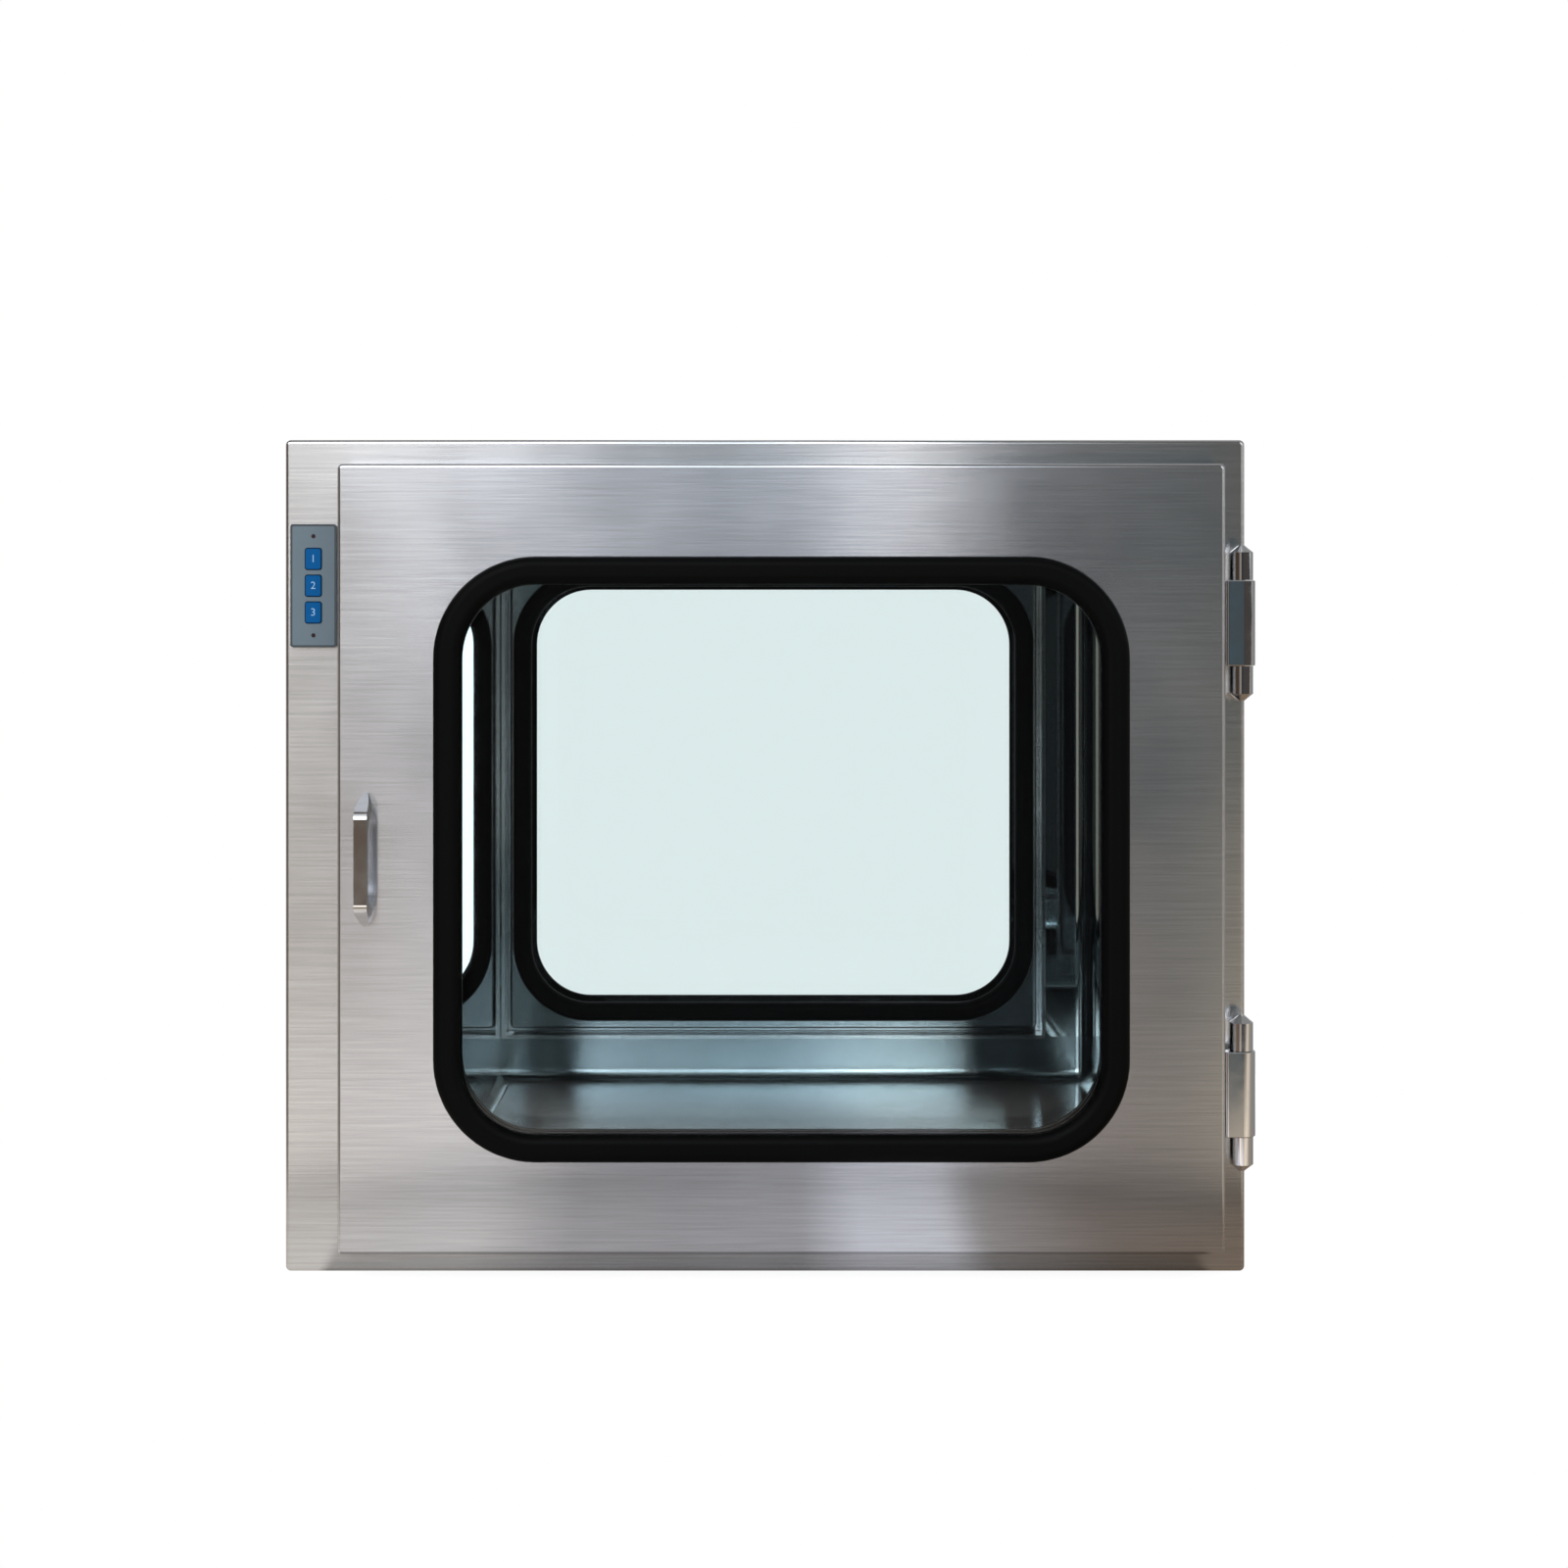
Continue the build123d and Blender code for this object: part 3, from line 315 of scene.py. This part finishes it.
# Painted shade, nearly black: a ring round each key for the shadow in the gap at its sides
key_gap_shade = moulded("painted_key_gap_shade", "#0A2238", "#081B2E",
                  rough=0.5, pit=0.0008, depth=0.000002, shine=0.1)


def show(name, shape, material, body):
    """Makes a piece from a bmesh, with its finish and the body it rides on."""
    mesh = bpy.data.meshes.new(name)
    shape.to_mesh(mesh)
    shape.free()
    mesh.materials.append(material)
    piece = bpy.data.objects.new(name, mesh)
    bpy.context.collection.objects.link(piece)
    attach(piece, body)
    return piece


for side, outer, half_turn in (("front", 0, 0), ("rear", 1, 180)):
    film_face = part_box(f"{side}_panel_overlay")[outer].y
    upright = (Matrix.Rotation(math.radians(half_turn), 4, "Z")
               @ Matrix.Rotation(math.radians(90), 4, "X"))
    # Rings of painted shade round the keys, standing for the shadow in the gaps at their sides
    rims = bmesh.new()
    for number in key_numbers:
        low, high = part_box(f"{side}_key_{number}")
        middle = (low + high) / 2
        finish_with(key_blue, f"{side}_key_{number}")

        reach_out = (high - low) / 2 + Vector.Fill(3, rim_clear + rim_width - key_lip)
        ring = bmesh.new()
        bmesh.ops.create_grid(ring, x_segments=1, y_segments=1, size=1.0,
                              matrix=Matrix.Diagonal((reach_out.x, reach_out.z, 1, 1)))
        bmesh.ops.bevel(ring, geom=ring.verts[:], offset=corner_round, offset_type="OFFSET",
                        segments=5, profile=0.5, affect="VERTICES", material=-1)
        bmesh.ops.inset_region(ring, faces=ring.faces[:], thickness=rim_width, use_boundary=True,
                               use_even_offset=True)
        hole = max(ring.faces, key=lambda face: face.calc_area())
        bmesh.ops.delete(ring, geom=[hole], context="FACES")
        lifted = bmesh.ops.extrude_face_region(ring, geom=ring.faces[:])
        raised = [part for part in lifted["geom"] if isinstance(part, bmesh.types.BMVert)]
        bmesh.ops.translate(ring, verts=raised, vec=(0, 0, rim_height))
        stand = Matrix.Translation((middle.x, film_face, middle.z)) @ upright
        bmesh.ops.transform(ring, matrix=stand, verts=ring.verts[:])
        bmesh.ops.recalc_face_normals(ring, faces=ring.faces[:])
        holder = bpy.data.meshes.new("ring")
        ring.to_mesh(holder)
        ring.free()
        rims.from_mesh(holder)
        bpy.data.meshes.remove(holder)

        words = bpy.data.curves.new("numeral", "FONT")
        words.body = str(number)
        words.size = numeral_height / figure_share
        words.align_x, words.align_y = "CENTER", "CENTER"
        words.extrude = numeral_depth
        words.resolution_u = 4
        wording = bpy.data.objects.new("numeral", words)
        flat = bpy.data.meshes.new_from_object(wording)
        numeral = bmesh.new()
        numeral.from_mesh(flat)
        bpy.data.objects.remove(wording)
        bpy.data.meshes.remove(flat)
        bmesh.ops.remove_doubles(numeral, verts=numeral.verts[:], dist=weld_gap)
        stand = Matrix.Translation((middle.x, (low, high)[outer].y, middle.z)) @ upright
        bmesh.ops.transform(numeral, matrix=stand, verts=numeral.verts[:])
        bmesh.ops.recalc_face_normals(numeral, faces=numeral.faces[:])
        show(f"{side}_key_numeral_{number}", numeral, numeral_ink, f"{side}_key_{number}_cap")
    show(f"{side}_key_gap_shade_rims", rims, key_gap_shade, "cabinet")

# ================================================================ magnet locks
# Potted electromagnets in nickel-plated housings, screwed behind the face frames.

finish_with(nickel, "front_magnet_lock", "rear_magnet_lock")

# ================================================================ lamps
# A germicidal tube and a lighting tube under the ceiling, in white enamelled battens.

# Stove enamel: near white, with an even soft shine
lamp_white = moulded("white_stove_enamel", "#EDEDEA", "#E4E4E0",
                     rough=0.35, pit=0.0015, depth=0.00001)
# Moulded polycarbonate: a shade duller than the enamel
socket_white = moulded("moulded_white_polycarbonate", "#E9E9E6", "#DFDFDB",
                       rough=0.4, pit=0.0008, depth=0.00001)
# Glass with phosphor inside: milky white and glossy
tube_glass = moulded("phosphor_coated_glass", "#F4F5F3", "#EDEFEE",
                     rough=0.15, pit=0.0008, depth=0.000002)
finish_with(lamp_white, "lamp_battens")
finish_with(socket_white, "lamp_sockets")
finish_with(tube_glass, "uv_lamp_tube", "light_tube")

# ================================================================ compartment
# The control gear beside the chamber: an interlock board, a supply in a zinc-plated case,
# a row of terminals on a rail, and the switch boards behind the keys.

# Laminate under solder mask: bottle green, satin
board_green = moulded("solder_masked_laminate", "#1F5B3A", "#194D31",
                      rough=0.4, pit=0.0008, depth=0.000005)
# Moulded nylon: off black, half matt
black_nylon = moulded("moulded_black_nylon", "#1B1C1D", "#141516",
                      rough=0.5, pit=0.0008, depth=0.00001)
finish_with(board_green, "control_board", "switch_boards")
finish_with(zinc, "power_supply")
finish_with(black_nylon, "cable_gland", "terminal_block")

# ================================================================ studio
# A pale floor, a white surround and one large soft lamp. The surround seen in the metal is
# a room with bright windows about its middle and a dark end on the right.

image_size = 1600
focal = 58.75
sensor = 36.0
frame_shift = (35 / image_size, -184 / image_size)   # right of and below the lens's axis
camera_place = (-0.012, -2.325, 0.522)

camera_data = bpy.data.cameras.new("camera")
camera_data.sensor_width = sensor
camera_data.lens = focal
camera_data.shift_x, camera_data.shift_y = frame_shift
camera = bpy.data.objects.new("camera", camera_data)
camera.location = camera_place
camera.rotation_euler = (math.radians(90), 0, 0)
bpy.context.collection.objects.link(camera)
bpy.context.scene.camera = camera


def fill_ramp(ramp, stops, span):
    """Gives a colour ramp its stops, whose places run from -span to span."""
    elements = ramp.color_ramp.elements
    while len(elements) < len(stops):
        elements.new(1.0)
    for element, (where, colour) in zip(elements, stops):
        element.position = (where + span) / (2 * span)
        element.color = linear(colour)
    return ramp.outputs[0]


floor_radius = 0.75
floor_colour = "#E6E6E6"
pure_white = "#FFFFFF"
floor_glow = 1.25               # with its share below, the floor shows white
glow_share = 0.7
# Painted light on the floor that only the metal sees: tones by the distance to the right of the
# middle, pale on the left and dark and warm on the right
painted_floor_light = [(-0.50, "#D6CEC6"), (-0.24, "#D9D3CD"), (-0.16, "#ADA8A7"), (0.03, "#A9A5A6"),
                (0.08, "#E2E1E8"), (0.15, "#E2E1E6"), (0.18, "#A39C98"), (0.28, "#85776C"),
                (0.45, "#84725F")]
under_light = 0.45              # painted shadow: how much of that is left below the cabinet
under_depth = (0.37, 0.42)      # where the light comes back, to the front and rear
under_width = (0.335, 0.350)    # and to the sides

outline = bmesh.new()
bmesh.ops.create_circle(outline, cap_ends=True, segments=96, radius=floor_radius,
                        matrix=Matrix.Translation((0, 0, cad_box[0][2])))
floor_mesh = bpy.data.meshes.new("floor")
outline.to_mesh(floor_mesh)
outline.free()
floor = bpy.data.objects.new("floor", floor_mesh)
bpy.context.collection.objects.link(floor)

# Matt white paint: plain white to the eye and through the glass. In the metal it shows painted
# light, in tones that fall off to the right, and a painted shadow below the cabinet
floor_paint, tree, output = new_material("matt_white_paint")
light_path = add(tree, "LightPath", {})
place = add(tree, "TexCoord", {})
sides = add(tree, "SeparateXYZ", {0: place.outputs["Object"]})
rightward = add(tree, "MapRange", {"Value": sides.outputs[0], "From Min": -floor_radius,
                                   "From Max": floor_radius})
dim = add(tree, "ValToRGB", {0: rightward.outputs[0]})
fill_ramp(dim, painted_floor_light, floor_radius)
outward = add(tree, "Math", {0: sides.outputs[1]}, operation="ABSOLUTE")
sheltered = add(tree, "MapRange", {"Value": outward.outputs[0], "From Min": under_depth[0],
                                   "From Max": under_depth[1], "To Min": under_light,
                                   "To Max": 1.0})
sideward = add(tree, "Math", {0: sides.outputs[0]}, operation="ABSOLUTE")
beside = add(tree, "MapRange", {"Value": sideward.outputs[0], "From Min": under_width[0],
                                "From Max": under_width[1], "To Min": 0.0, "To Max": 1.0})
sheltered = add(tree, "Math", {0: sheltered.outputs[0], 1: beside.outputs[0]}, operation="MAXIMUM")
dim = add(tree, "Mix", {"Factor": 1.0, "A": dim.outputs[0], "B": sheltered.outputs[0]},
          data_type="RGBA", blend_type="MULTIPLY")
seen = add(tree, "Math", {0: light_path.outputs["Is Camera Ray"],
                          1: light_path.outputs["Is Transmission Ray"]}, operation="MAXIMUM")
pale = add(tree, "Mix", {"Factor": seen.outputs[0], "A": dim.outputs["Result"],
                         "B": linear(floor_colour)}, data_type="RGBA")
shown = add(tree, "Mix", {"Factor": seen.outputs[0], "A": dim.outputs["Result"],
                          "B": linear(pure_white)}, data_type="RGBA")
glow = add(tree, "Emission", {"Color": shown.outputs["Result"], "Strength": floor_glow})
matt = add(tree, "BsdfDiffuse", {"Color": pale.outputs["Result"]})
mixed = add(tree, "MixShader", {0: glow_share, 1: matt.outputs[0], 2: glow.outputs[0]})
tree.links.new(mixed.outputs[0], output.inputs[0])
floor_mesh.materials.append(floor_paint)

# The room in front, by how far a direction leans to the right or rises, over its depth.
# The first two are the room above eye level, whose colours are multiplied.
reach = 1.2
room_across = [(-1.20, "#3A2E28"), (-0.62, "#40342D"), (-0.50, "#D9DBDF"), (-0.20, "#DCDDDF"),
               (-0.145, "#E9EBEF"), (-0.090, "#E9EBF1"), (-0.060, "#AEB3BA"), (0.012, "#A2ABB2"),
               (0.040, "#DFE3EC"), (0.050, "#FDFDFF"), (0.078, "#FFFFFF"), (0.083, "#7C8289"),
               (0.136, "#5F6061"), (0.185, "#353332"), (0.30, "#302E2C"), (0.50, "#A8A8A8"),
               (1.00, "#8C8C8C")]
room_upward = [(-1.20, "#5A5A5A"), (0.08, "#5A5A5A"), (0.14, "#A0A0A0"), (0.22, "#F4F4F4"),
               (0.30, "#FFFFFF"), (0.75, "#FFFFFF"), (1.05, "#8A8A8A"), (1.20, "#7C7C7C")]
# At eye level stand dark benches
room_level = [(-1.20, "#1E1814"), (-0.62, "#1E1814"), (-0.50, "#46423D"), (-0.168, "#46423D"),
              (-0.160, "#2E2823"), (-0.135, "#2E2823"), (-0.120, "#121212"), (0.120, "#111112"),
              (0.160, "#1D2427"), (0.190, "#1F282C"), (0.205, "#1E1C1B"), (1.20, "#1E1C1B")]
# Below them the room's floor shines, and it turns dark near the object
room_low = [(-1.20, "#352C26"), (-0.62, "#3A302A"), (-0.50, "#948E89"), (-0.165, "#948E89"),
            (-0.135, "#A09A95"), (-0.090, "#B0AAA5"), (-0.055, "#8F8B8E"), (0.034, "#8E8B91"),
            (0.052, "#C6C4CE"), (0.078, "#C6C4CC"), (0.088, "#8A8683"), (0.140, "#685E57"),
            (0.180, "#645A50"), (0.21, "#8A8070"), (1.20, "#6A645E")]
room_deep = "#4C463D"
level_start, level_end = 0.18, 0.08
low_start, low_end = -0.185, -0.235
deep_start, deep_end = -0.34, -0.50
room_strength = 5.2
# The room behind: plain grey, with a dark post on the left and a bright one on the right
back_across = [(-1.20, "#6E6E6E"), (-0.22, "#7A7A7A"), (-0.150, "#1E1E1E"), (-0.100, "#1C1E1F"),
               (-0.090, "#8E8E8E"), (0.088, "#8E8E8E"), (0.096, "#EEF6F8"), (0.125, "#EEF6F8"),
               (0.140, "#8A8A8A"), (1.20, "#6E6E6E")]
back_strength = 1.9
corner_blend = 0.05             # the two rooms meet over this much at the sides
least_depth = 0.001             # keeps the leans finite there
soft_grey = "#DDDDDD"           # what falls on everything that isn't metal or glass
one_bounce = 1.0                # half of this tells none from one

surround = bpy.data.worlds.new("surround")
surround.use_nodes = True
bpy.context.scene.world = surround
tree = surround.node_tree
tree.nodes.clear()
output = tree.nodes.new("ShaderNodeOutputWorld")
direction = add(tree, "TexCoord", {})
parts = add(tree, "SeparateXYZ", {0: direction.outputs["Generated"]})
depth = add(tree, "Math", {0: parts.outputs[1]}, operation="ABSOLUTE")
depth = add(tree, "Math", {0: depth.outputs[0], 1: least_depth}, operation="MAXIMUM")


def room_ramp(part, stops):
    """The colours met along one way through the room."""
    lean = add(tree, "Math", {0: parts.outputs[part], 1: depth.outputs[0]}, operation="DIVIDE")
    along = add(tree, "MapRange", {"Value": lean.outputs[0], "From Min": -reach, "From Max": reach})
    return fill_ramp(add(tree, "ValToRGB", {0: along.outputs[0]}), stops, reach)


shaded = add(tree, "Mix", {"Factor": 1.0, "A": room_ramp(0, room_across),
                           "B": room_ramp(2, room_upward)},
             data_type="RGBA", blend_type="MULTIPLY")
drop = add(tree, "Math", {0: parts.outputs[2], 1: depth.outputs[0]}, operation="DIVIDE")
eyeness = add(tree, "MapRange", {"Value": drop.outputs[0], "From Min": level_start,
                                 "From Max": level_end})
levelled = add(tree, "Mix", {"Factor": eyeness.outputs[0], "A": shaded.outputs["Result"],
                             "B": room_ramp(0, room_level)}, data_type="RGBA")
lowness = add(tree, "MapRange", {"Value": drop.outputs[0], "From Min": low_start,
                                 "From Max": low_end})
grounded = add(tree, "Mix", {"Factor": lowness.outputs[0], "A": levelled.outputs["Result"],
                             "B": room_ramp(0, room_low)}, data_type="RGBA")
depths = add(tree, "MapRange", {"Value": drop.outputs[0], "From Min": deep_start,
                                "From Max": deep_end})
bottomed = add(tree, "Mix", {"Factor": depths.outputs[0], "A": grounded.outputs["Result"],
                             "B": linear(room_deep)}, data_type="RGBA")
front_room = add(tree, "Background", {"Color": bottomed.outputs["Result"],
                                      "Strength": room_strength})
back_room = add(tree, "Background", {"Color": room_ramp(0, back_across),
                                     "Strength": back_strength})
behind = add(tree, "MapRange", {"Value": parts.outputs[1], "From Min": -corner_blend,
                                "From Max": corner_blend})
room_light = add(tree, "MixShader", {0: behind.outputs[0], 1: front_room.outputs[0],
                                     2: back_room.outputs[0]})
plain = add(tree, "Background", {"Color": linear(soft_grey), "Strength": 1.0})
white = add(tree, "Background", {"Color": linear(pure_white), "Strength": 1.0})
light_path = add(tree, "LightPath", {})
soft_light = add(tree, "MixShader", {0: light_path.outputs["Is Diffuse Ray"],
                                     1: room_light.outputs[0], 2: plain.outputs[0]})
# White shows straight from the camera, and through the glass before anything has bounced
bounced = add(tree, "Math", {0: light_path.outputs["Glossy Depth"],
                             1: light_path.outputs["Diffuse Depth"]}, operation="ADD")
straight = add(tree, "Math", {0: bounced.outputs[0], 1: one_bounce / 2}, operation="LESS_THAN")
through = add(tree, "Math", {0: light_path.outputs["Is Transmission Ray"],
                             1: straight.outputs[0]}, operation="MULTIPLY")
seen = add(tree, "Math", {0: light_path.outputs["Is Camera Ray"], 1: through.outputs[0]},
           operation="MAXIMUM")
mixed = add(tree, "MixShader", {0: seen.outputs[0], 1: soft_light.outputs[0],
                                2: white.outputs[0]})
tree.links.new(mixed.outputs[0], output.inputs[0])

lamp_place = (-2.2, -2.2, 2.4)
lamp_aim = (0, 0, 0.3)
lamp_size = (2.2, 1.6)
lamp_watts = 18.0
lamp_data = bpy.data.lights.new("soft_lamp", "AREA")
lamp_data.shape = "RECTANGLE"
lamp_data.size, lamp_data.size_y = lamp_size
lamp_data.energy = lamp_watts
lamp = bpy.data.objects.new("soft_lamp", lamp_data)
lamp.location = lamp_place
lamp.rotation_euler = (Vector(lamp_aim) - lamp.location).to_track_quat("-Z", "Y").to_euler()
bpy.context.collection.objects.link(lamp)

bpy.context.scene.view_settings.view_transform = "Standard"
